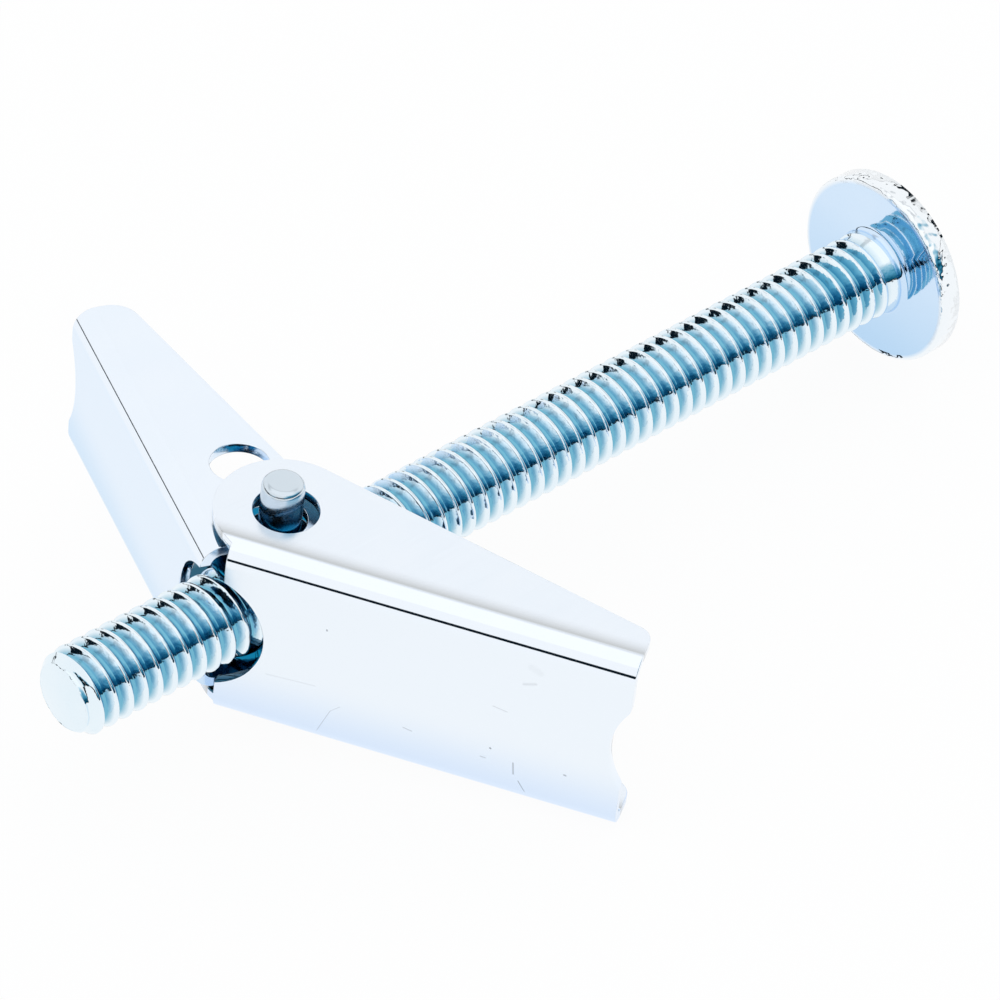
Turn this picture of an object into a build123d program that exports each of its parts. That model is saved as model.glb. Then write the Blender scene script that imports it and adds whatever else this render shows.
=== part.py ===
from build123d import *
from math import acos, asin, atan2, cos, degrees, hypot, radians, sin, tan
import os

# Spring toggle bolt, in millimetres and degrees. The origin is the centre of the bearing face under
# the screw's head, +X runs along the screw to its tip, and +Z is the trunnion axis.

# Machine screw
screw_length = 75.0
thread_diameter = 6.35
tip_diameter = 4.9
tip_taper_length = 0.8
neck_round = 0.45
head_diameter = 14.4
head_height = 3.5
head_rim = 1.6
head_edge_round = 0.3
recess_span = 6.4
recess_width = 1.5
recess_depth = 2.3
recess_taper = 8.0
recess_edge_round = 0.35

# Trunnion nut
pivot_distance = 56.6
barrel_diameter = 9.2
barrel_wall = 0.505
barrel_edge_bevel = 0.45
bore_clearance = 0.05
trunnion_diameter = 3.0
trunnion_stand = 2.2
trunnion_end_bevel = 0.3
collar_lap = 0.9
collar_clearance = 0.35

# Wings: folded sheet, the outer one's ears over the inner one's
sheet = 0.8
bend_inside = 0.85
ear_gap = 0.75
outer_length = 27.0
inner_length = 25.3
outer_ear_radius = 5.0
inner_ear_clearance = 0.3
tip_flange = 3.85
outer_tip_round = 1.2
inner_tip_round = 2.0
pivot_clearance = 0.1
outer_hole_along = 0.45
outer_hole_out = 0.3
inner_hole_along = 0.0
inner_hole_out = 0.25
outer_web_play = 0.3
inner_web_play = 0.8
lightening_hole_diameter = 4.2
lightening_hole_along = 6.2
lightening_hole_out = 0.55
notch_height = 9.4
notch_clearance = 0.4
scallop_depth = 1.1
scallop_height = 7.2
scallop_round = 0.8

# Rest pose: the two wings at their open stop, swung together a little towards the inner wing's side,
# and the inner wing hanging down in its loose pivot holes
open_spread = 128.2
pair_swing = 5.3
inner_droop = 4.2
stop_gap = 1.1

# Torsion spring
wire_diameter = 0.4
wire_sides = 12
coil_play = 1.2
coil_pitch = 0.46
coil_turns = 2
leg_length = 9.0
leg_gap = 0.1
coil_gap = 0.05
coil_headroom = 0.3

# What follows from the sizes above
thread_radius = thread_diameter / 2
bore_radius = thread_radius + bore_clearance
barrel_top = bore_radius + barrel_wall
wire_radius = wire_diameter / 2
coil_radius = (trunnion_diameter + coil_play + wire_diameter) / 2
coil_rise = coil_pitch * coil_turns
inner_inside = barrel_top + coil_gap + coil_rise + wire_diameter + coil_headroom
inner_width = 2 * (inner_inside + sheet)
outer_width = inner_width + 2 * (sheet + ear_gap)
outer_angle = open_spread / 2 - pair_swing
inner_angle = open_spread / 2 + pair_swing
outer_web_inside = barrel_diameter / 2 + outer_web_play
inner_web_inside = barrel_diameter / 2 + inner_web_play
ear_sway = inner_width / 2 * sin(radians(inner_droop))
pivot_hole_diameter = trunnion_diameter + 2 * (inner_hole_out + ear_sway + pivot_clearance)
inner_ear_radius = outer_web_inside - hypot(inner_hole_out, ear_sway) - inner_ear_clearance
web_start = stop_gap / (1 - cos(radians(open_spread))) - inner_web_inside / tan(radians(open_spread / 2))
trunnion_half_length = outer_width / 2 + trunnion_stand
cut_overrun = outer_width


def machine_screw():
    """Turned form of screw and mushroom head, with a cross recess in the dome."""
    head_radius = head_diameter / 2
    dome_start = Vector(-head_rim, head_radius)
    dome_top = Vector(-head_height, 0)
    dome_radius = ((head_height - head_rim) ** 2 + head_radius**2) / (2 * (head_height - head_rim))
    tip_start = screw_length - tip_taper_length
    outline = Polyline(
        (-head_height, 0),
        (screw_length, 0),
        (screw_length, tip_diameter / 2),
        (tip_start, thread_radius),
        (0, thread_radius),
        (0, head_radius),
        dome_start,
    )
    dome = RadiusArc(dome_start, dome_top, -dome_radius)
    half = make_face([outline, dome])
    neck = half.vertices().sort_by_distance((0, thread_radius))[0]
    half = fillet(neck, neck_round)
    rim_edge = half.vertices().sort_by_distance((0, head_radius))[0]
    half = fillet(rim_edge, head_edge_round)
    screw = revolve(half, Axis.X)

    bars = Rectangle(recess_span, recess_width) + Rectangle(recess_width, recess_span)
    inner_corners = bars.vertices().sort_by_distance((0, 0))[:4]
    bars = fillet(inner_corners, recess_edge_round)
    dome_plane = Plane(origin=(-head_height, 0, 0), x_dir=(0, 1, 0), z_dir=(1, 0, 0))
    return screw - extrude(dome_plane * bars, recess_depth, taper=recess_taper)


def trunnion_nut():
    """Round barrel with a cross bore for the screw, trunnions above and below, and a thrust collar."""
    barrel = Cylinder(barrel_diameter / 2, 2 * barrel_top)
    barrel = chamfer(barrel.edges().filter_by(GeomType.CIRCLE), barrel_edge_bevel)
    trunnion = Cylinder(trunnion_diameter / 2, 2 * trunnion_half_length)
    trunnion = chamfer(trunnion.edges().filter_by(GeomType.CIRCLE), trunnion_end_bevel)
    collar_radius = pivot_hole_diameter / 2 + collar_lap
    collar_reach = inner_inside - collar_clearance
    collar = Cylinder(collar_radius, collar_reach, align=(Align.CENTER, Align.CENTER, Align.MAX))
    bore = Cylinder(bore_radius, 2 * barrel_diameter, rotation=(0, 90, 0))
    return barrel + trunnion + collar - bore


def channel(width, web_out, length):
    """Folded U of sheet, open towards -Y, with its web's outer face at web_out along +Y."""
    depth = 2 * (web_out + width)
    far_side = (Align.MAX, Align.CENTER)
    fold = Rectangle(depth, width, align=far_side)
    fold = fillet(fold.vertices().group_by(Axis.X)[-1], bend_inside + sheet)
    hollow = Pos(-sheet, 0) * Rectangle(depth, width - 2 * sheet, align=far_side)
    hollow = fillet(hollow.vertices().group_by(Axis.X)[-1], bend_inside)
    section = Pos(web_out, 0) * (fold - hollow)
    blank_start = Plane.YZ.offset(-length)
    return extrude(blank_start * section, 2 * length)


def flange_outline(hole_at, ear_radius, web_inside, length, tip_round):
    """Plan of a wing: a round ear and a blade that narrows from the ear to the wing's free end."""
    web_out = web_inside + sheet
    tip_corner = Vector(length, web_out - tip_flange)
    reach = tip_corner - hole_at
    turn = atan2(reach.Y, reach.X) - acos(ear_radius / hypot(reach.X, reach.Y))
    back_start = hole_at + Vector(ear_radius * cos(turn), ear_radius * sin(turn))
    blade = make_face(
        Polyline(
            (web_start, hole_at.Y),
            (web_start, web_out),
            (length, web_out),
            tip_corner,
            back_start,
            hole_at,
            close=True,
        )
    )
    blade = fillet(blade.vertices().sort_by_distance(tip_corner)[0], tip_round)
    return blade + Pos(hole_at) * Circle(ear_radius)


def wing(width, length, angle, hole_along, hole_out, web_inside, ear_radius, tip_round):
    """One wing along +X from the trunnion axis, its web facing +Y, with its notch and end scallop."""
    hole_at = Vector(hole_along, hole_out)
    web_out = web_inside + sheet
    plan = flange_outline(hole_at, ear_radius, web_inside, length, tip_round)
    body = channel(width, web_out, length) & extrude(plan, cut_overrun, both=True)
    body -= Pos(hole_at) * Cylinder(pivot_hole_diameter / 2, cut_overrun)

    # The screw passes through a round notch in the web's end, with room at the open stop
    screw_room = thread_radius + notch_clearance
    notch_end = screw_room / sin(radians(angle)) - web_inside / tan(radians(angle))
    notch_depth = notch_end - web_start
    notch_radius = notch_depth / 2 + notch_height**2 / (8 * notch_depth)
    notch = Cylinder(notch_radius, cut_overrun, rotation=(90, 0, 0))
    body -= Pos(notch_end - notch_radius, 0, 0) * notch

    # The free end of the web is hollowed between its corners
    scallop_radius = scallop_depth / 2 + scallop_height**2 / (8 * scallop_depth)
    scallop = Cylinder(scallop_radius, cut_overrun, rotation=(90, 0, 0))
    body -= Pos(length - scallop_depth + scallop_radius, 0, 0) * scallop
    across = body.edges().filter_by(Axis.Y)
    corners = across.sort_by_distance((length, web_out, scallop_height / 2))[:1]
    corners += across.sort_by_distance((length, web_out, -scallop_height / 2))[:1]
    return fillet(corners, scallop_round)


def outer_wing():
    """The wider wing, which swings on the +Y side of the screw."""
    blade = wing(
        outer_width,
        outer_length,
        outer_angle,
        outer_hole_along,
        outer_hole_out,
        outer_web_inside,
        outer_ear_radius,
        outer_tip_round,
    )
    blade = mirror(blade, about=Plane.XZ)
    return Pos(pivot_distance, 0, 0) * Rot(0, 0, 180 - outer_angle) * blade


def inner_wing():
    """The narrower wing, on the -Y side, with an extra hole in each flange beside the ear."""
    blade = wing(
        inner_width,
        inner_length,
        inner_angle,
        inner_hole_along,
        inner_hole_out,
        inner_web_inside,
        inner_ear_radius,
        inner_tip_round,
    )
    hole = Cylinder(lightening_hole_diameter / 2, cut_overrun)
    blade -= Pos(lightening_hole_along, lightening_hole_out, 0) * hole
    hung = Rot(0, 0, 180 + inner_angle) * Rot(0, inner_droop, 0) * blade
    return Pos(pivot_distance, 0, 0) * hung


def leg_lean(web_inside):
    """Angle between a spring leg and its wing, so that the leg's end lies against the web."""
    end_out = web_inside - wire_radius - leg_gap
    return degrees(asin(end_out / hypot(coil_radius, leg_length)) - atan2(coil_radius, leg_length))


def wire_at(centre, turn, height):
    """Section of the spring's wire on the coil at an angle, facing along the winding."""
    out = Vector(cos(radians(turn)), sin(radians(turn)), 0)
    along = Vector(-sin(radians(turn)), cos(radians(turn)), 0)
    spot = Vector(0, 0, centre) + coil_radius * out + Vector(0, 0, height)
    return Plane(origin=spot, x_dir=out, z_dir=along) * RegularPolygon(wire_radius, wire_sides)


def torsion_spring():
    """Wire wound about the upper trunnion in leaning half turns, with a leg along the inside of each web."""
    first_turn = inner_angle + leg_lean(inner_web_inside) - 90
    last_turn = 90 - outer_angle - leg_lean(outer_web_inside)
    coil_base = barrel_top + coil_gap + wire_radius
    coil_end = coil_base + coil_rise
    half_rise = coil_rise / (2 * coil_turns)

    spring = extrude(wire_at(coil_base, first_turn, 0), -leg_length)
    for half in range(2 * coil_turns):
        turn = first_turn + 180 * half
        middle = coil_base + half_rise * (half + 1 / 2)
        lean = Vector(-half_rise / 2 * cos(radians(turn)), -half_rise / 2 * sin(radians(turn)), -coil_radius)
        axis = Axis((0, 0, middle), -lean)
        spring += revolve(wire_at(middle, turn, -half_rise / 2), axis, 180)
    spring += revolve(wire_at(coil_end, first_turn, 0), Axis((0, 0, coil_end), (0, 0, 1)), last_turn - first_turn)
    spring += extrude(wire_at(coil_end, last_turn, 0), leg_length)
    return Pos(pivot_distance, 0, 0) * spring


os.makedirs("parts", exist_ok=True)
pieces = {
    "machine_screw": machine_screw(),
    "trunnion_nut": Pos(pivot_distance, 0, 0) * trunnion_nut(),
    "outer_wing": outer_wing(),
    "inner_wing": inner_wing(),
    "torsion_spring": torsion_spring(),
}
for name, piece in pieces.items():
    export_step(piece, f"parts/{name}.step")
    print(name, f"{piece.volume:.2f} mm3", piece.bounding_box())
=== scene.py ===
import bmesh
import bpy
import numpy as np
from math import cos, pi, radians, sin
from mathutils import Matrix, Vector, noise


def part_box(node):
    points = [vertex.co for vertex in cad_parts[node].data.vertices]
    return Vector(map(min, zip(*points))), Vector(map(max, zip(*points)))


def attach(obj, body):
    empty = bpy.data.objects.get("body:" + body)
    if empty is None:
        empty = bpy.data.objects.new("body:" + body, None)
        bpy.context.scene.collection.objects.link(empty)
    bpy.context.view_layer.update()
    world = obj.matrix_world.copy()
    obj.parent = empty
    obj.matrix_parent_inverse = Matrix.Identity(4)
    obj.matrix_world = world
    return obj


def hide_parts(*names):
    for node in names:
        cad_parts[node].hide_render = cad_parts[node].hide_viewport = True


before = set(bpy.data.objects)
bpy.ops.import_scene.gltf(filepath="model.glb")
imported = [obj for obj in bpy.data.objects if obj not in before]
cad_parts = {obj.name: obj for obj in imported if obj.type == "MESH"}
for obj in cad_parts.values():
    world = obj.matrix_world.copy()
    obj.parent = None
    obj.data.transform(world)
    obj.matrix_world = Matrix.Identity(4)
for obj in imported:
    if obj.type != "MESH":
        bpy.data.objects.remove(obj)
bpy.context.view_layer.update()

# Machine screw: cold-headed steel wire, the thread rolled along its whole length up to the mushroom
# head, then zinc plated. The thread has the quarter-inch coarse form, twenty to the inch, and the tip
# is sheared and slightly coned.
MM = 0.001
pitch = 1.27 * MM
crest_radius = 3.175 * MM
root_radius = 2.473 * MM
tip_radius = 2.45 * MM
neck_end = 0.45 * MM
thread_start = 0.6 * MM
runout_length = 1.9 * MM
tip_taper_length = 0.8 * MM
burr = 0.09 * MM
burr_grain = 1900.0
crest_mark = 73.11 * MM
crest_mark_turn = radians(104)
turns_before_mark = 60
thread_turns = 63
steps_per_turn = 64
points_across = 19
crest_crowding = 1.4
crest_share = 0.122
root_share = 0.76
seam_reach = 1e-6
weld_reach = 1e-7
slack = 0.02 * MM
tip_inset = 0.0002 * MM
screw_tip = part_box("machine_screw")[1].x - tip_inset
root_shade_start, root_shade_full = 3.0 * MM, 2.55 * MM
tip_unshaded, tip_shaded = 74.2 * MM, 73.6 * MM
flanks_unshaded, flanks_shaded = 9 * MM, 7 * MM
rim_inside, rim_outside = 6.7 * MM, 7.0 * MM
shade_top, shade_foot = 3 * MM, -6 * MM


def linear(code):
    """Linear colour, with an alpha of 1, of an sRGB hex value."""
    parts = [int(code[i : i + 2], 16) / 255 for i in (1, 3, 5)]
    return [c / 12.92 if c <= 0.04045 else ((c + 0.055) / 1.055) ** 2.4 for c in parts] + [1.0]


def add(tree, kind, inputs=(), **settings):
    """Adds a node with its settings, sets or links its inputs, and gives its first output."""
    node = tree.nodes.new(kind)
    for key, value in settings.items():
        setattr(node, key, value)
    for key, value in dict(inputs).items():
        if isinstance(value, bpy.types.NodeSocket):
            tree.links.new(value, node.inputs[key])
        else:
            node.inputs[key].default_value = value
    return node.outputs[0] if node.outputs else node


# Bright zinc plate over steel: a thin mirror-like layer with a blue cast, clouded a little where the
# bath worked unevenly, with hairline rubs from tumbling in the barrel.
def bright_zinc(name, tint, cloud, roughness, grain_turn, peel):
    material = bpy.data.materials.new(name)
    material.use_nodes = True
    tree = material.node_tree
    shader = tree.nodes["Principled BSDF"]
    shader.inputs["Metallic"].default_value = 1.0
    place = add(tree, "ShaderNodeTexCoord").node.outputs["Object"]
    # Clouds of about 4 mm in the plating
    clouds = add(tree, "ShaderNodeTexNoise", {"Vector": place, "Scale": 250.0, "Detail": 3.0})
    shares = {0: clouds, 6: linear(tint), 7: linear(cloud)}
    colour = add(tree, "ShaderNodeMix", shares, data_type="RGBA").node.outputs[2]
    tree.links.new(colour, shader.inputs["Base Color"])
    # Hairline rubs, 0.15 mm apart across the grain and 6 mm long
    stretch = {"Vector": place, "Rotation": (0, 0, grain_turn), "Scale": (150, 6500, 6500)}
    turned = add(tree, "ShaderNodeMapping", stretch)
    rubs = add(tree, "ShaderNodeTexNoise", {"Vector": turned, "Scale": 1.0, "Detail": 2.0})
    ends = {0: rubs, 1: 0.35, 2: 0.75, 3: roughness * 0.9, 4: roughness * 1.15}
    tree.links.new(add(tree, "ShaderNodeMapRange", ends), shader.inputs["Roughness"])
    # Orange peel of the steel below the plating, about 0.25 mm across
    skin = add(tree, "ShaderNodeTexNoise", {"Vector": place, "Scale": 4000.0, "Detail": 2.0})
    uneven = {"Height": skin, "Strength": peel, "Distance": 0.03 * MM}
    relief = add(tree, "ShaderNodeBump", uneven)
    tree.links.new(relief, shader.inputs["Normal"])
    return material


# Painted shade: the plating is darkened in the roots of the thread, up to the tip, and on the
# backward-facing flanks beside the head
screw_zinc = bright_zinc("bright_zinc_on_rolled_thread", "#F0F8FD", "#E2F1FA", 0.07, 0.0, 0.12)
tree = screw_zinc.node_tree
shader = tree.nodes["Principled BSDF"]
plated = shader.inputs["Base Color"].links[0].from_socket
coords = add(tree, "ShaderNodeTexCoord").node.outputs
place = coords["Object"]
spoke = add(tree, "ShaderNodeMapping", {"Vector": place, "Scale": (0, 1, 1)})
reach = add(tree, "ShaderNodeVectorMath", {0: spoke}, operation="LENGTH").node.outputs["Value"]
inward = add(tree, "ShaderNodeMapRange", {0: reach, 1: root_shade_start, 2: root_shade_full})
along = add(tree, "ShaderNodeSeparateXYZ", {0: place}).node.outputs["X"]
off_tip = add(tree, "ShaderNodeMapRange", {0: along, 1: tip_unshaded, 2: tip_shaded})
thread_shade = add(tree, "ShaderNodeMath", {0: inward, 1: off_tip}, operation="MULTIPLY")
turned = add(tree, "ShaderNodeSeparateXYZ", {0: coords["Normal"]}).node.outputs["X"]
at_head = add(tree, "ShaderNodeMapRange", {0: along, 1: flanks_unshaded, 2: flanks_shaded})
backward = add(tree, "ShaderNodeMapRange", {0: turned, 1: -0.3, 2: -0.5})
behind = add(tree, "ShaderNodeMath", {0: at_head, 1: backward}, operation="MULTIPLY")
thread_shade = add(tree, "ShaderNodeMath", {0: thread_shade, 1: behind}, operation="MAXIMUM")
# Painted shade: the roots and the backward flanks take a darker teal
shares = {0: thread_shade, 6: plated, 7: linear("#74B6D0")}
colour = add(tree, "ShaderNodeMix", shares, data_type="RGBA").node.outputs[2]
tree.links.new(colour, shader.inputs["Base Color"])

# The rolls leave the flanks uneven, in patches of about 0.7 mm
relief = shader.inputs["Normal"].links[0].from_socket
patches = add(tree, "ShaderNodeTexNoise", {"Vector": place, "Scale": 1400.0, "Detail": 2.0})
uneven = {"Height": patches, "Strength": 1.0, "Distance": 0.035 * MM, "Normal": relief}
tree.links.new(add(tree, "ShaderNodeBump", uneven), shader.inputs["Normal"])

# The upset head takes a deeper blue in the same bath, and other bolts in the barrel dent its rim. Painted
# shade darkens it towards its foot.
head_zinc = bright_zinc("bright_zinc_on_upset_head", "#D8EAFC", "#CFE5FB", 0.06, 0.0, 0.03)
tree = head_zinc.node_tree
shader = tree.nodes["Principled BSDF"]
plated = shader.inputs["Base Color"].links[0].from_socket
relief = shader.inputs["Normal"].links[0].from_socket
place = add(tree, "ShaderNodeTexCoord").node.outputs["Object"]
spoke = add(tree, "ShaderNodeMapping", {"Vector": place, "Scale": (0, 1, 1)})
reach = add(tree, "ShaderNodeVectorMath", {0: spoke}, operation="LENGTH").node.outputs["Value"]
on_rim = add(tree, "ShaderNodeMapRange", {0: reach, 1: rim_inside, 2: rim_outside})
# Dents of about 1.6 mm
blows = {"Vector": place, "Scale": 620.0, "Detail": 2.0, "Roughness": 0.6}
dents = add(tree, "ShaderNodeTexNoise", blows)
dented = add(tree, "ShaderNodeMath", {0: dents, 1: on_rim}, operation="MULTIPLY")
# Painted shade: the head is tinted darker and bluer towards its foot
height = add(tree, "ShaderNodeSeparateXYZ", {0: place}).node.outputs["Z"]
lower = add(tree, "ShaderNodeMapRange", {0: height, 1: shade_top, 2: shade_foot})
shares = {0: lower, 6: plated, 7: linear("#BAD9F5")}
plated = add(tree, "ShaderNodeMix", shares, data_type="RGBA").node.outputs[2]
shares = {0: on_rim, 6: plated, 7: linear("#F3F8FC")}
colour = add(tree, "ShaderNodeMix", shares, data_type="RGBA").node.outputs[2]
tree.links.new(colour, shader.inputs["Base Color"])
beaten = {"Height": dented, "Strength": 1.0, "Distance": 0.42 * MM, "Normal": relief}
tree.links.new(add(tree, "ShaderNodeBump", beaten), shader.inputs["Normal"])

thread = bpy.data.node_groups.new("rolled_thread", "GeometryNodeTree")
thread.interface.new_socket("Geometry", in_out="OUTPUT", socket_type="NodeSocketGeometry")
sizes = {
    "Pitch": pitch,
    "Crest radius": crest_radius,
    "Root radius": root_radius,
    "Tip radius": tip_radius,
    "Tip": screw_tip,
    "Tip taper": tip_taper_length,
    "Neck": thread_start,
    "Run-out": runout_length,
    "First root": crest_mark - pitch * (crest_mark_turn / (2 * pi) + 0.5) - turns_before_mark * pitch,
    "Turns": float(thread_turns),
}
sockets = {}
for label in sizes:
    socket = thread.interface.new_socket(label, in_out="INPUT", socket_type="NodeSocketFloat")
    sockets[label] = socket.identifier
given = add(thread, "NodeGroupInput").node.outputs
cells = {
    "Size X": 1.0,
    "Size Y": 1.0,
    "Vertices X": steps_per_turn * thread_turns + 1,
    "Vertices Y": points_across,
}
blank = add(thread, "GeometryNodeMeshGrid", cells)
# The strip's width becomes one pitch, its points crowded towards the crest in the middle
spot = add(thread, "ShaderNodeSeparateXYZ", {0: add(thread, "GeometryNodeInputPosition")}).node.outputs
half_share = add(thread, "ShaderNodeMath", {0: spot["Y"], 1: 2.0}, operation="MULTIPLY")
half_size = add(thread, "ShaderNodeMath", {0: half_share}, operation="ABSOLUTE")
side = add(thread, "ShaderNodeMath", {0: half_share}, operation="SIGN")
off_crest = add(thread, "ShaderNodeMath", {0: half_size, 1: crest_crowding}, operation="POWER")
off_signed = add(thread, "ShaderNodeMath", {0: off_crest, 1: side}, operation="MULTIPLY")
across_share = add(thread, "ShaderNodeMath", {0: off_signed, 1: 0.5, 2: 0.5}, operation="MULTIPLY_ADD")
# Its length becomes the turns of the helix, cut off at the neck and at the tip
turn_share = add(thread, "ShaderNodeMath", {0: spot["X"], 1: 0.5}, operation="ADD")
turns_done = add(thread, "ShaderNodeMath", {0: turn_share, 1: given["Turns"]}, operation="MULTIPLY")
angle = add(thread, "ShaderNodeMath", {0: turns_done, 1: 2 * pi}, operation="MULTIPLY")
pitches = add(thread, "ShaderNodeMath", {0: turns_done, 1: across_share}, operation="ADD")
advance = {0: pitches, 1: given["Pitch"], 2: given["First root"]}
lead = add(thread, "ShaderNodeMath", advance, operation="MULTIPLY_ADD")
past_neck = add(thread, "ShaderNodeMath", {0: lead, 1: given["Neck"]}, operation="MAXIMUM")
along = add(thread, "ShaderNodeMath", {0: past_neck, 1: given["Tip"]}, operation="MINIMUM")
# The section: a flat crest, straight flanks and a flat root, filled at the neck and coned at the tip
slope = add(thread, "ShaderNodeMapRange", {0: off_crest, 1: crest_share, 2: root_share, 3: 1.0, 4: 0.0})
radii = {0: given["Crest radius"], 1: given["Root radius"]}
depth = add(thread, "ShaderNodeMath", radii, operation="SUBTRACT")
raised = {0: slope, 1: depth, 2: given["Root radius"]}
flank = add(thread, "ShaderNodeMath", raised, operation="MULTIPLY_ADD")
neck_stop = add(thread, "ShaderNodeMath", {0: given["Neck"], 1: given["Run-out"]}, operation="ADD")
runout = {0: along, 1: given["Neck"], 2: neck_stop, 3: given["Crest radius"], 4: given["Root radius"]}
floor_radius = add(thread, "ShaderNodeMapRange", runout)
filled = add(thread, "ShaderNodeMath", {0: flank, 1: floor_radius}, operation="MAXIMUM")
ends = {0: given["Tip"], 1: given["Tip taper"]}
taper_start = add(thread, "ShaderNodeMath", ends, operation="SUBTRACT")
taper = {0: along, 1: taper_start, 2: given["Tip"], 3: given["Crest radius"], 4: given["Tip radius"]}
cone = add(thread, "ShaderNodeMapRange", taper)
radius = add(thread, "ShaderNodeMath", {0: filled, 1: cone}, operation="MINIMUM")
cosine = add(thread, "ShaderNodeMath", {0: angle}, operation="COSINE")
sine = add(thread, "ShaderNodeMath", {0: angle}, operation="SINE")
beside = add(thread, "ShaderNodeMath", {0: radius, 1: cosine}, operation="MULTIPLY")
above = add(thread, "ShaderNodeMath", {0: radius, 1: sine}, operation="MULTIPLY")
goal = add(thread, "ShaderNodeCombineXYZ", {0: along, 1: beside, 2: above})
wound = add(thread, "GeometryNodeSetPosition", {"Geometry": blank, "Position": goal})
closed = add(thread, "GeometryNodeMergeByDistance", {"Geometry": wound, "Distance": seam_reach})
real = add(thread, "GeometryNodeRealizeInstances", {0: closed})
dressed = add(thread, "GeometryNodeSetMaterial", {"Geometry": real, "Material": screw_zinc})
add(thread, "NodeGroupOutput", {0: dressed})


def plain_mesh(obj):
    """Plain mesh of an object with its modifiers, as the scene shows it."""
    bpy.context.view_layer.update()
    evaluated = obj.evaluated_get(bpy.context.evaluated_depsgraph_get())
    return bpy.data.meshes.new_from_object(evaluated)


def smooth_shaded(mesh, sharp_from):
    """Shades a mesh smooth, apart from the edges that turn by more than an angle."""
    mesh.polygons.foreach_set("use_smooth", [True] * len(mesh.polygons))
    mesh.set_sharp_from_angle(angle=radians(sharp_from))


screw = bpy.data.objects.new("threaded_screw", bpy.data.meshes.new("threaded_screw"))
bpy.context.scene.collection.objects.link(screw)
winding = screw.modifiers.new("rolled_thread", "NODES")
winding.node_group = thread
for label, size in sizes.items():
    winding[sockets[label]] = size
rolled = plain_mesh(screw)
screw.modifiers.remove(winding)

# The head comes from the solid, is bridged to the thread at the neck, and the tip is closed with a burr
whole = bmesh.new()
whole.from_mesh(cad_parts["machine_screw"].data)
bmesh.ops.remove_doubles(whole, verts=whole.verts, dist=weld_reach)
shank = [f for f in whole.faces if max(v.co.x for v in f.verts) > neck_end + slack]
bmesh.ops.delete(whole, geom=shank, context="FACES")
whole.from_mesh(rolled)
for face in whole.faces:
    face.material_index = int(all(v.co.x < neck_end + slack for v in face.verts))
halfway = 0.5 * (thread_start + screw_tip)
necks = [e for e in whole.edges if e.is_boundary and max(v.co.x for v in e.verts) < halfway]
bmesh.ops.bridge_loops(whole, edges=necks)
ends = [e for e in whole.edges if e.is_boundary]
sheared = bmesh.ops.contextual_create(whole, geom=ends)["faces"]
rim = list(sheared[0].verts)
bmesh.ops.inset_individual(whole, faces=sheared, thickness=2.2 * burr)
for corner in rim:
    bite = 0.5 + 0.5 * noise.noise(corner.co * burr_grain)
    corner.co.x -= burr * (0.3 + 0.7 * bite)
bmesh.ops.recalc_face_normals(whole, faces=whole.faces)
whole.to_mesh(screw.data)
whole.free()
screw.data.materials.append(screw_zinc)
screw.data.materials.append(head_zinc)
smooth_shaded(screw.data, 38)
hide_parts("machine_screw")
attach(screw, "screw")

# Trunnion nut: a turned steel barrel with a tapped cross bore and a pin above and below, on which the
# wings hang. The cutting-off tool rounds the pins' ends, and painted shade darkens the barrel between the
# ears.
pin_round = 0.2 * MM
shade_edge = 8.1 * MM
shade_fade = 0.8 * MM
nut_zinc = bright_zinc("bright_zinc_on_turned_nut", "#DCE6EE", "#D0DCE6", 0.16, 0.0, 0.1)
tree = nut_zinc.node_tree
shader = tree.nodes["Principled BSDF"]
plated = shader.inputs["Base Color"].links[0].from_socket
place = add(tree, "ShaderNodeTexCoord").node.outputs["Object"]
# Painted shade: the barrel between the ears is darkened, fading out along the pins
height = add(tree, "ShaderNodeSeparateXYZ", {0: place}).node.outputs["Z"]
off_middle = add(tree, "ShaderNodeMath", {0: height}, operation="ABSOLUTE")
beyond_shade = add(tree, "ShaderNodeMapRange", {0: off_middle, 1: shade_edge - shade_fade, 2: shade_edge})
shares = {0: beyond_shade, 6: linear("#127CA4"), 7: plated}
colour = add(tree, "ShaderNodeMix", shares, data_type="RGBA").node.outputs[2]
tree.links.new(colour, shader.inputs["Base Color"])


def plain_copy(name, node, edge_round, least_turn, material, body):
    """Copy of a node's solid with its edges rounded off, riding on its body."""
    copy = bmesh.new()
    copy.from_mesh(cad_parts[node].data)
    bmesh.ops.remove_doubles(copy, verts=copy.verts, dist=weld_reach)
    # Facets of one flat face become one again
    bmesh.ops.dissolve_limit(copy, angle_limit=radians(0.5), verts=copy.verts, edges=copy.edges)
    piece = bpy.data.objects.new(name, bpy.data.meshes.new(name))
    copy.to_mesh(piece.data)
    copy.free()
    bpy.context.scene.collection.objects.link(piece)
    rolled_edge = piece.modifiers.new("rolled_edge", "BEVEL")
    rolled_edge.width = edge_round
    rolled_edge.segments = 2
    rolled_edge.limit_method = "ANGLE"
    rolled_edge.angle_limit = radians(least_turn)
    rolled_edge.use_clamp_overlap = False
    piece.data.polygons.foreach_set("use_smooth", [True] * len(piece.data.polygons))
    evened = piece.modifiers.new("evened", "WEIGHTED_NORMAL")
    evened.keep_sharp = False
    mesh = plain_mesh(piece)
    piece.modifiers.clear()
    piece.data = mesh
    piece.data.materials.clear()
    piece.data.materials.append(material)
    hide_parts(node)
    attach(piece, body)


plain_copy("turned_nut", "trunnion_nut", pin_round, 30, nut_zinc, "nut")

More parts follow.
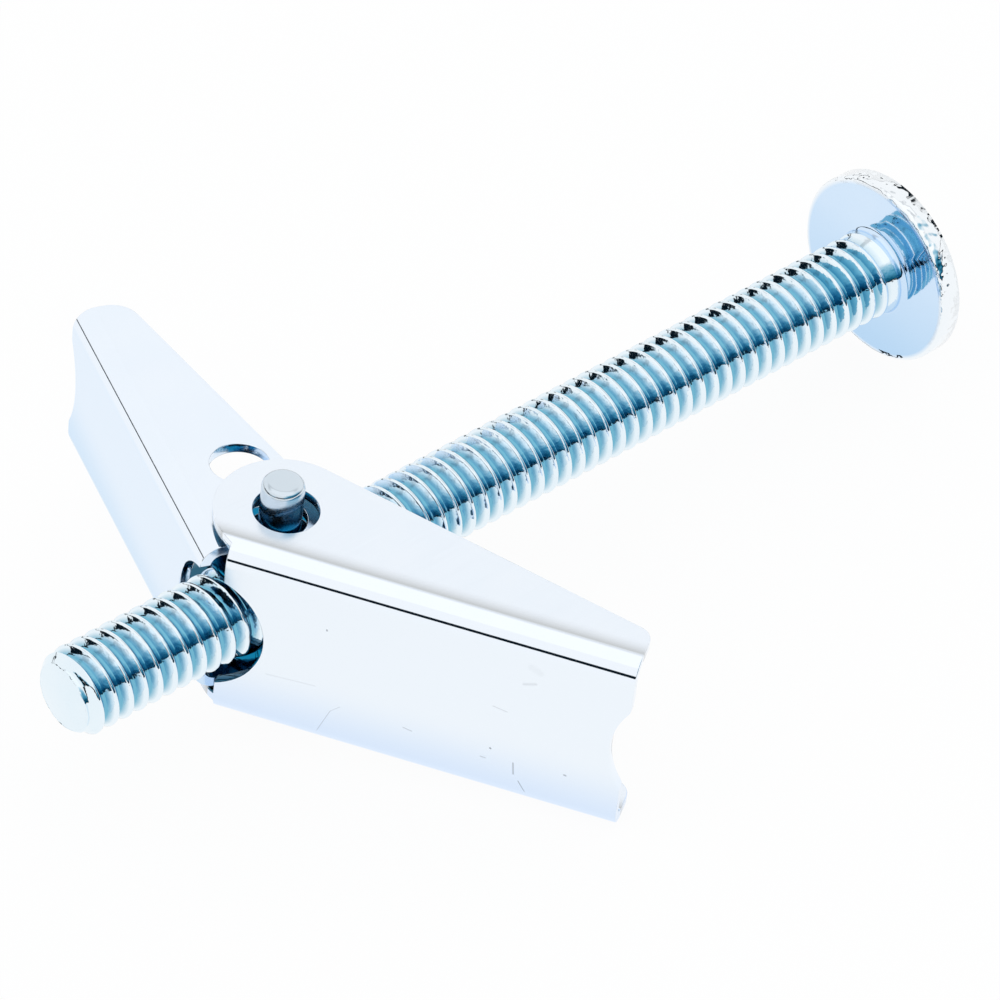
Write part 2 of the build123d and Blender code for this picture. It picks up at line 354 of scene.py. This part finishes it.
# Torsion spring: round drawn spring wire wound about the upper pin, with a straight leg along the inside
# of each wing. Its coil rides on the nut, and each leg goes with the wing that it pushes open.
wire_radius = 0.2 * MM
wire_sides = 14
coil_radius = 2.3 * MM
coil_low, coil_high = (corner.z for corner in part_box("torsion_spring"))
pivot = Vector((sum(corner.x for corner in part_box("trunnion_nut")) / 2, 0, 0))
leg_length = 9.0 * MM
inner_leg_lift = 0.16 * MM
end_round = 0.35 * wire_radius
coil_turns = 2
inner_leg_turn = -1.63
outer_leg_turn = 15.852

# Oil-tempered spring steel: unplated, dark and slightly blue, with a dull gloss. Its dark colour also
# stands in as painted shade inside the nut and the channel of the wings.
spring_steel = bright_zinc("oil_tempered_spring_wire_with_painted_shade", "#2C4A5A", "#1E3A4A", 0.22, 0.0, 0.1)

wire_form = bpy.data.node_groups.new("wound_wire", "GeometryNodeTree")
wire_form.interface.new_socket("Geometry", in_out="OUTPUT", socket_type="NodeSocketGeometry")
wire_sizes = {
    "Wire radius": wire_radius,
    "Coil radius": coil_radius,
    "Rise": coil_high - coil_low - 2 * wire_radius,
    "Turns": coil_turns + (outer_leg_turn - inner_leg_turn) / 360,
}
wire_sockets = {}
for label in wire_sizes:
    socket = wire_form.interface.new_socket(label, in_out="INPUT", socket_type="NodeSocketFloat")
    wire_sockets[label] = socket.identifier
given = add(wire_form, "NodeGroupInput").node.outputs
helix = {
    "Resolution": 48,
    "Rotations": given["Turns"],
    "Start Radius": given["Coil radius"],
    "End Radius": given["Coil radius"],
    "Height": given["Rise"],
    "Reverse": True,
}
line = add(wire_form, "GeometryNodeCurveSpiral", helix)
section = {"Resolution": wire_sides, "Radius": given["Wire radius"]}
ring = add(wire_form, "GeometryNodeCurvePrimitiveCircle", section, mode="RADIUS")
swept = {"Curve": line, "Profile Curve": ring, "Fill Caps": True}
tube = add(wire_form, "GeometryNodeCurveToMesh", swept)
real = add(wire_form, "GeometryNodeRealizeInstances", {0: tube})
dressed = add(wire_form, "GeometryNodeSetMaterial", {"Geometry": real, "Material": spring_steel})
add(wire_form, "NodeGroupOutput", {0: dressed})

coil = bpy.data.objects.new("spring_coil", bpy.data.meshes.new("spring_coil"))
bpy.context.scene.collection.objects.link(coil)
winding = coil.modifiers.new("wound_wire", "NODES")
winding.node_group = wire_form
for label, size in wire_sizes.items():
    winding[wire_sockets[label]] = size
coil.data = plain_mesh(coil)
coil.modifiers.remove(winding)
turned = Matrix.Rotation(radians(inner_leg_turn), 4, "Z")
coil.data.transform(Matrix.Translation((pivot.x, 0, coil_low + wire_radius)) @ turned)
smooth_shaded(coil.data, 50)
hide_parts("torsion_spring")
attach(coil, "nut")

# The inner wing's leg leaves the coil slightly raised, to clear the barrel when that leaning wing folds
for label, turn, height, way, raised, body in (
    ("spring_leg_inner", inner_leg_turn, coil_low + wire_radius, -1, inner_leg_lift, "inner_wing"),
    ("spring_leg_outer", outer_leg_turn, coil_high - wire_radius, 1, 0.0, "outer_wing"),
):
    beside, ahead = cos(radians(turn)), sin(radians(turn))
    start = pivot + Vector((coil_radius * beside, coil_radius * ahead, height + raised))
    heading = Vector((-ahead * way, beside * way, -raised / leg_length))
    heading.normalize()
    leg = bmesh.new()
    rod = {"radius1": wire_radius, "radius2": wire_radius, "depth": leg_length}
    bmesh.ops.create_cone(leg, cap_ends=True, segments=wire_sides, **rod)
    rims = [e for e in leg.edges if abs(e.verts[0].co.z - e.verts[1].co.z) < 1e-9]
    bmesh.ops.bevel(leg, geom=rims, offset=end_round, segments=2, affect="EDGES")
    turned = heading.to_track_quat("Z", "Y").to_matrix().to_4x4()
    leg.transform(Matrix.Translation(start + heading * leg_length / 2) @ turned)
    piece = bpy.data.objects.new(label, bpy.data.meshes.new(label))
    leg.to_mesh(piece.data)
    leg.free()
    bpy.context.scene.collection.objects.link(piece)
    piece.data.materials.append(spring_steel)
    smooth_shaded(piece.data, 40)
    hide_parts("torsion_spring")
    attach(piece, body)

# Inner wing: a channel pressed from cold-rolled sheet, its ears between those of the outer wing, with a
# notch for the screw, a hollowed end and an extra hole in each flange. Its cut edges are slightly rolled.
edge_round = 0.07 * MM
inner_turn = radians(249.4)
web_shade_top, web_shade_foot = -1 * MM, -8 * MM
lower_bend, upper_bend = -3 * MM, -1 * MM
shade_within, unshaded_beyond = 11 * MM, 16 * MM
satin_roughness, burnished_roughness = 0.2, 0.06


# The same plating on sheet: satin on the flats as it was rolled, and burnished bright by the die along
# the
# bends. Painted shade: the webs are tinted darker than the flanges and darker still towards their foot,
# and the inside of the channel round the pins is darkened.
def plated_sheet(name, tint, cloud, web_shade_tint, foot_shade_tint, grain_turn):
    material = bright_zinc(name, tint, cloud, satin_roughness, grain_turn, 0.02)
    tree = material.node_tree
    shader = tree.nodes["Principled BSDF"]
    plated = shader.inputs["Base Color"].links[0].from_socket
    satin = shader.inputs["Roughness"].links[0].from_socket
    coords = add(tree, "ShaderNodeTexCoord").node.outputs
    facing = add(tree, "ShaderNodeSeparateXYZ", {0: coords["Normal"]}).node.outputs["Z"]
    tipped = add(tree, "ShaderNodeMath", {0: facing}, operation="ABSOLUTE")
    off_web = add(tree, "ShaderNodeMapRange", {0: tipped, 1: 0.1, 2: 0.3})
    off_flange = add(tree, "ShaderNodeMapRange", {0: tipped, 1: 0.9985, 2: 0.985})
    bend = add(tree, "ShaderNodeMath", {0: off_web, 1: off_flange}, operation="MULTIPLY")
    # Painted shade: the webs take a darker, bluer tint than the flanges and the upper bends, darker still
    # towards their foot
    height = add(tree, "ShaderNodeSeparateXYZ", {0: coords["Object"]}).node.outputs["Z"]
    fall = {0: height, 1: web_shade_top, 2: web_shade_foot}
    low = add(tree, "ShaderNodeMapRange", fall, interpolation_type="SMOOTHERSTEP")
    shares = {0: low, 6: linear(web_shade_tint), 7: linear(foot_shade_tint)}
    web = add(tree, "ShaderNodeMix", shares, data_type="RGBA").node.outputs[2]
    upper = add(tree, "ShaderNodeMapRange", {0: height, 1: lower_bend, 2: upper_bend})
    above_web = add(tree, "ShaderNodeMath", {0: off_web, 1: upper}, operation="MULTIPLY")
    flat = add(tree, "ShaderNodeMath", {0: 1.0, 1: off_flange}, operation="SUBTRACT")
    above_web = add(tree, "ShaderNodeMath", {0: above_web, 1: flat}, operation="MAXIMUM")
    shares = {0: above_web, 6: web, 7: plated}
    plated = add(tree, "ShaderNodeMix", shares, data_type="RGBA").node.outputs[2]
    shares = {0: bend, 2: satin, 3: burnished_roughness}
    tree.links.new(add(tree, "ShaderNodeMix", shares, data_type="FLOAT"), shader.inputs["Roughness"])
    # Painted shade: the inside of the channel round the pins is darkened
    outward = add(tree, "ShaderNodeMath", {0: height, 1: facing}, operation="MULTIPLY")
    inside = add(tree, "ShaderNodeMath", {0: outward, 1: -1 * MM}, operation="LESS_THAN")
    ends = {0: coords["Object"], 1: pivot}
    from_pin = add(tree, "ShaderNodeVectorMath", ends, operation="DISTANCE").node.outputs["Value"]
    near = add(tree, "ShaderNodeMapRange", {0: from_pin, 1: unshaded_beyond, 2: shade_within})
    channel_shade = add(tree, "ShaderNodeMath", {0: inside, 1: near}, operation="MULTIPLY")
    shares = {0: channel_shade, 6: plated, 7: linear("#2E6078")}
    colour = add(tree, "ShaderNodeMix", shares, data_type="RGBA").node.outputs[2]
    tree.links.new(colour, shader.inputs["Base Color"])
    return material


inner_zinc = plated_sheet(
    "bright_zinc_on_inner_sheet", "#F0F7FF", "#EBF4FE", "#E4F1FF", "#CBE4FB", inner_turn
)
plain_copy("inner_wing_sheet", "inner_wing", edge_round, 40, inner_zinc, "inner_wing")

# Outer wing: the wider channel of the pair, pressed from the same sheet, its ears outside the inner
# wing's on the pins. Handling has nicked its web, and a painted reflection greys its flanges beside the
# bends.
outer_turn = radians(121.2)
web_out = 5.7 * MM
bend_start = 4.05 * MM
painted_band_width = 1.2 * MM
painted_band_edge = 0.12 * MM
outer_zinc = plated_sheet(
    "bright_zinc_on_outer_sheet", "#F2F8FF", "#EDF5FE", "#F1F8FF", "#DAEAFF", outer_turn
)
# Nicks and rubs on the web from handling: from where to where along the wing from the pin and above its
# middle, half width, all in mm, and how far the plating is dulled there
nicks = (
    ((5.57, -6.47), (6.4, -4.2), 0.03, 0.3),
    ((6.4, -4.2), (7.05, -3.57), 0.03, 0.2),
    ((1.65, -2.52), (5.15, -2.3), 0.05, 0.12),
    ((5.55, 3.18), (5.56, 3.1), 0.06, 0.6),
    ((11.6, -3.74), (12.2, -3.85), 0.05, 0.3),
    ((17.77, -3.27), (17.8, -3.3), 0.07, 0.7),
    ((17.2, -4.3), (17.5, -4.3), 0.07, 0.25),
    ((23.09, -3.75), (23.2, -3.78), 0.07, 0.5),
    ((19.48, -4.03), (19.59, -5.05), 0.05, 0.5),
    ((19.99, -5.57), (20.93, -7.04), 0.04, 0.5),
    ((19.9, 5.2), (20.5, 4.9), 0.3, 0.05),
    ((19.5, 3.5), (20.3, 3.8), 0.12, 0.14),
    ((17.59, 0.68), (18.6, 0.51), 0.04, 0.25),
)
wing_way = Vector((cos(outer_turn), sin(outer_turn), 0))
web_way = Vector((sin(outer_turn), -cos(outer_turn), 0))
web_place = pivot + web_way * web_out
tree = outer_zinc.node_tree
shader = tree.nodes["Principled BSDF"]
plated = shader.inputs["Base Color"].links[0].from_socket
place = add(tree, "ShaderNodeTexCoord").node.outputs["Object"]
dulled = 0.0
for first, last, half_width, depth in nicks:
    start = web_place + wing_way * first[0] * MM + Vector((0, 0, first[1] * MM))
    run = web_place + wing_way * last[0] * MM + Vector((0, 0, last[1] * MM)) - start
    from_start = add(tree, "ShaderNodeVectorMath", {0: place, 1: start}, operation="SUBTRACT")
    share = {0: from_start, 1: run / run.length_squared}
    share = add(tree, "ShaderNodeVectorMath", share, operation="DOT_PRODUCT").node.outputs["Value"]
    share = add(tree, "ShaderNodeClamp", {0: share})
    nearest = add(tree, "ShaderNodeVectorMath", {0: run, "Scale": share}, operation="SCALE")
    ends = {0: from_start, 1: nearest}
    aside = add(tree, "ShaderNodeVectorMath", ends, operation="DISTANCE").node.outputs["Value"]
    tone = {0: aside, 1: half_width * 0.4 * MM, 2: half_width * 1.4 * MM, 3: depth, 4: 0.0}
    nick = add(tree, "ShaderNodeMapRange", tone)
    dulled = add(tree, "ShaderNodeMath", {0: nick, 1: dulled}, operation="MAXIMUM")
shares = {0: dulled, 6: plated, 7: linear("#55606E")}
plated = add(tree, "ShaderNodeMix", shares, data_type="RGBA").node.outputs[2]
# Painted reflection: a dull grey band on the flanges that deepens towards the bends
from_pin = add(tree, "ShaderNodeVectorMath", {0: place, 1: pivot}, operation="SUBTRACT")
outward = {0: from_pin, 1: web_way}
outward = add(tree, "ShaderNodeVectorMath", outward, operation="DOT_PRODUCT").node.outputs["Value"]
painted_grey_band = add(tree, "ShaderNodeMapRange", {0: outward, 1: bend_start - painted_band_width, 2: bend_start})
painted_grey_band = add(tree, "ShaderNodeMath", {0: painted_grey_band, 1: 1.8}, operation="POWER")
on_flat = add(tree, "ShaderNodeMapRange", {0: outward, 1: bend_start + painted_band_edge, 2: bend_start})
painted_grey_band = add(tree, "ShaderNodeMath", {0: painted_grey_band, 1: on_flat}, operation="MULTIPLY")
shares = {0: painted_grey_band, 6: plated, 7: linear("#C8CCCF")}
colour = add(tree, "ShaderNodeMix", shares, data_type="RGBA").node.outputs[2]
tree.links.new(colour, shader.inputs["Base Color"])
plain_copy("outer_wing_sheet", "outer_wing", edge_round, 40, outer_zinc, "outer_wing")

# Pale table under the bolt: it touches the lower pin, the rim of the head and the tip of the outer wing,
# on which the bolt comes to rest.
table_half = 3.0
lit_share = 0.94
mirrored_share = 0.98
contacts = []
for node in ("trunnion_nut", "machine_screw", "outer_wing"):
    contacts.append(np.array([v.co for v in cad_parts[node].data.vertices]))
up = np.array((0.0, 0.0, 1.0))
for settle in range(12):
    corners = [group[(group @ up).argmin()] for group in contacts]
    across = np.cross(corners[1] - corners[0], corners[2] - corners[0])
    up = across / np.linalg.norm(across)
    if up[2] < 0:
        up = -up
table_material = bpy.data.materials.new("white_table")
table_material.use_nodes = True
tree = table_material.node_tree
tree.nodes.clear()
seen = add(tree, "ShaderNodeLightPath").node.outputs
rays = {0: seen["Is Camera Ray"], 1: seen["Is Transmission Ray"]}
direct = add(tree, "ShaderNodeMath", rays, operation="MAXIMUM")
direct = add(tree, "ShaderNodeMath", {0: direct, 1: lit_share}, operation="MULTIPLY")
rays = {0: seen["Is Glossy Ray"], 1: mirrored_share}
mirrored = add(tree, "ShaderNodeMath", rays, operation="MULTIPLY")
share = add(tree, "ShaderNodeMath", {0: direct, 1: mirrored}, operation="MAXIMUM")
paper = add(tree, "ShaderNodeBsdfDiffuse", {"Color": linear("#FFFFFF")})
glow = add(tree, "ShaderNodeEmission", {"Color": (1, 1, 1, 1), "Strength": 1.0})
mixed = add(tree, "ShaderNodeMixShader", {0: share, 1: paper, 2: glow})
add(tree, "ShaderNodeOutputMaterial", {"Surface": mixed})
table = bpy.data.objects.new("table", bpy.data.meshes.new("table"))
sheet = bmesh.new()
bmesh.ops.create_grid(sheet, x_segments=1, y_segments=1, size=table_half)
turned = Vector(up).to_track_quat("Z", "X").to_matrix().to_4x4()
sheet.transform(Matrix.Translation(Vector(corners[0])) @ turned)
sheet.to_mesh(table.data)
sheet.free()
table.data.materials.append(table_material)
bpy.context.scene.collection.objects.link(table)

# Studio: a white tent over the table. Low in front it stands open to a dim blue-green room, higher
# towards the head's side. A dark gap runs round its foot, widest before the tip, the tent has a grey
# seam behind, and a large weak soft box hangs above.
front_way = (0.6, 0.8, 0)
gap_least, gap_edge = 0.06, 0.01
box_side, box_power = 0.8, 0.16
world = bpy.data.worlds.new("white_tent")
world.use_nodes = True
bpy.context.scene.world = world
tree = world.node_tree
tree.nodes.clear()
facing = add(tree, "ShaderNodeTexCoord").node.outputs["Generated"]
way = add(tree, "ShaderNodeSeparateXYZ", {0: facing}).node.outputs
lift = {0: facing, 1: list(up)}
lift = add(tree, "ShaderNodeVectorMath", lift, operation="DOT_PRODUCT").node.outputs["Value"]
# The room through the opening, dim at the foot and white at its upper edge
reach = {0: way["X"], 1: 0.05, 2: 0.75, 3: 0.8, 4: 0.22}
opening = add(tree, "ShaderNodeMapRange", reach, interpolation_type="SMOOTHSTEP")
rise = add(tree, "ShaderNodeMath", {0: lift, 1: opening}, operation="DIVIDE")
room = add(tree, "ShaderNodeValToRGB", {0: rise})
stops = room.node.color_ramp.elements
stops[0].color = linear("#063A50")
stops[1].color = linear("#FFFFFF")
stops.new(0.25).color = linear("#1B6482")
stops.new(0.5).color = linear("#559DBA")
stops.new(0.75).color = linear("#A6D0E1")
ahead = {0: facing, 1: front_way}
ahead = add(tree, "ShaderNodeVectorMath", ahead, operation="DOT_PRODUCT").node.outputs["Value"]
front = add(tree, "ShaderNodeMapRange", {0: ahead, 1: -0.2, 2: 0.1})
shares = {0: front, 6: (1, 1, 1, 1), 7: room}
walls = add(tree, "ShaderNodeMix", shares, data_type="RGBA").node.outputs[2]
# The dark gap, by the height of its brim
before_tip = add(tree, "ShaderNodeMapRange", {0: way["X"], 1: 0.46, 2: 0.6, 3: 0.0, 4: 1.0})
brim_far = add(tree, "ShaderNodeMapRange", {0: way["Y"], 1: -0.35, 2: 0.0, 3: 0.18, 4: 0.1})
brim_near = add(tree, "ShaderNodeMapRange", {0: way["Y"], 1: 0.15, 2: 0.3, 3: 0.0, 4: 0.12})
brim = add(tree, "ShaderNodeMath", {0: brim_far, 1: brim_near}, operation="ADD")
brim = add(tree, "ShaderNodeMath", {0: brim, 1: before_tip}, operation="MULTIPLY")
brim = add(tree, "ShaderNodeMath", {0: brim, 1: gap_least}, operation="MAXIMUM")
over_brim = add(tree, "ShaderNodeMath", {0: lift, 1: brim}, operation="SUBTRACT")
gap = add(tree, "ShaderNodeMapRange", {0: over_brim, 1: -gap_edge, 2: gap_edge, 3: 1.0, 4: 0.0})
shares = {0: gap, 6: walls, 7: linear("#07161F")}
walls = add(tree, "ShaderNodeMix", shares, data_type="RGBA").node.outputs[2]
# The seam behind
seam_low = add(tree, "ShaderNodeMapRange", {0: lift, 1: 0.74, 2: 0.8, 3: 0.0, 4: 0.4})
seam_high = add(tree, "ShaderNodeMapRange", {0: lift, 1: 0.84, 2: 0.9, 3: 1.0, 4: 0.0})
seam = add(tree, "ShaderNodeMath", {0: seam_low, 1: seam_high}, operation="MULTIPLY")
back = add(tree, "ShaderNodeMapRange", {0: ahead, 1: -0.05, 2: -0.2})
seam = add(tree, "ShaderNodeMath", {0: seam, 1: back}, operation="MULTIPLY")
shares = {0: seam, 6: walls, 7: linear("#8A9299")}
walls = add(tree, "ShaderNodeMix", shares, data_type="RGBA").node.outputs[2]
seen = add(tree, "ShaderNodeLightPath").node.outputs
shares = {0: seen["Is Camera Ray"], 6: walls, 7: (1, 1, 1, 1)}
toned = add(tree, "ShaderNodeMix", shares, data_type="RGBA").node.outputs[2]
light = add(tree, "ShaderNodeBackground", {"Color": toned, "Strength": 1.0})
add(tree, "ShaderNodeOutputWorld", {"Surface": light})

box_light = bpy.data.lights.new("soft_box", "AREA")
box_light.shape = "RECTANGLE"
box_light.size = box_side
box_light.size_y = box_side
box_light.energy = box_power
soft_box = bpy.data.objects.new("soft_box", box_light)
soft_box.location = (0.1, 0.05, 0.6)
bpy.context.scene.collection.objects.link(soft_box)

# Camera: a long lens from the tip's side, looking down on the bolt
lens = bpy.data.cameras.new("camera")
lens.sensor_width = 36.0
lens.lens = 275.3
camera = bpy.data.objects.new("camera", lens)
right = Vector((-0.75030, 0.65429, 0.09458))
down = Vector((0.39864, 0.56191, -0.72480))
view = Vector((-0.52738, -0.50612, -0.68243))
placed = Matrix((right, -down, -view)).transposed().to_4x4()
placed.translation = Vector((317.88, 270.97, 361.96)) * MM
camera.matrix_world = placed
bpy.context.scene.collection.objects.link(camera)
bpy.context.scene.camera = camera
bpy.context.scene.view_settings.view_transform = "Standard"
